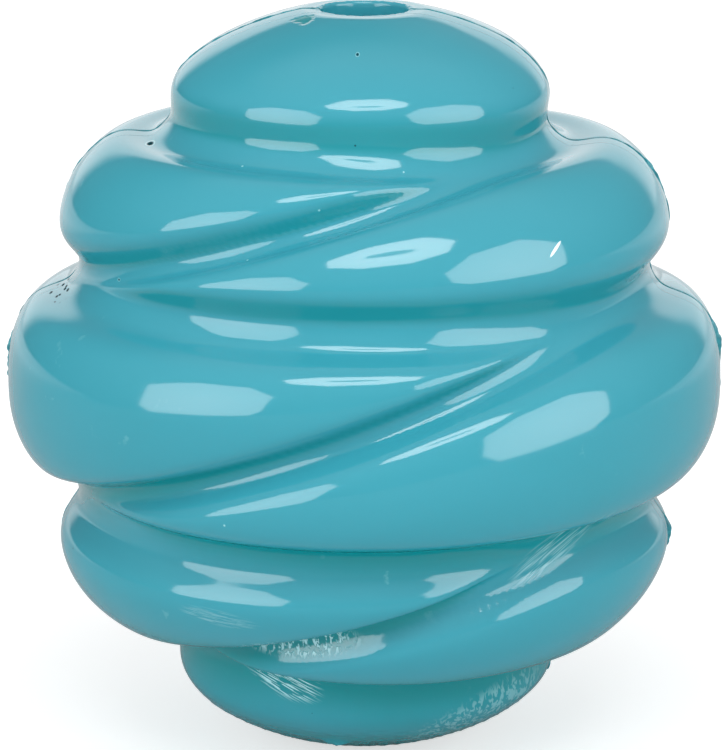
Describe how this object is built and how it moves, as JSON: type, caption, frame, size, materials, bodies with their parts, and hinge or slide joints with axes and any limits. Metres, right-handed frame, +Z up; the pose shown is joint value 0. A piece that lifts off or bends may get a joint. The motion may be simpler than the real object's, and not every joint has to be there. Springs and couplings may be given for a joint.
{
  "type": "treat dispensing ball",
  "caption": "Hollow soft rubber dog ball with level and leaning ring grooves and a round treat hole at each pole, moulded as bonded half shells.",
  "frame": {"origin": "centre of the lower flat land, on the line through both treat holes", "axes": "+Z up along the treat holes, seam in the XZ plane, viewer's side towards -Y; leaning grooves rise towards +X"},
  "size_m": [0.0798, 0.078, 0.082],
  "materials": {
    "ball_rubber": "glossy",
    "bond_rubber": "satin"
  },
  "bodies": {
    "root": {"front_half_shell": "ball_rubber", "rear_half_shell": "ball_rubber", "seam_bead_left": "bond_rubber", "seam_bead_right": "bond_rubber"}
  },
  "joints": []
}
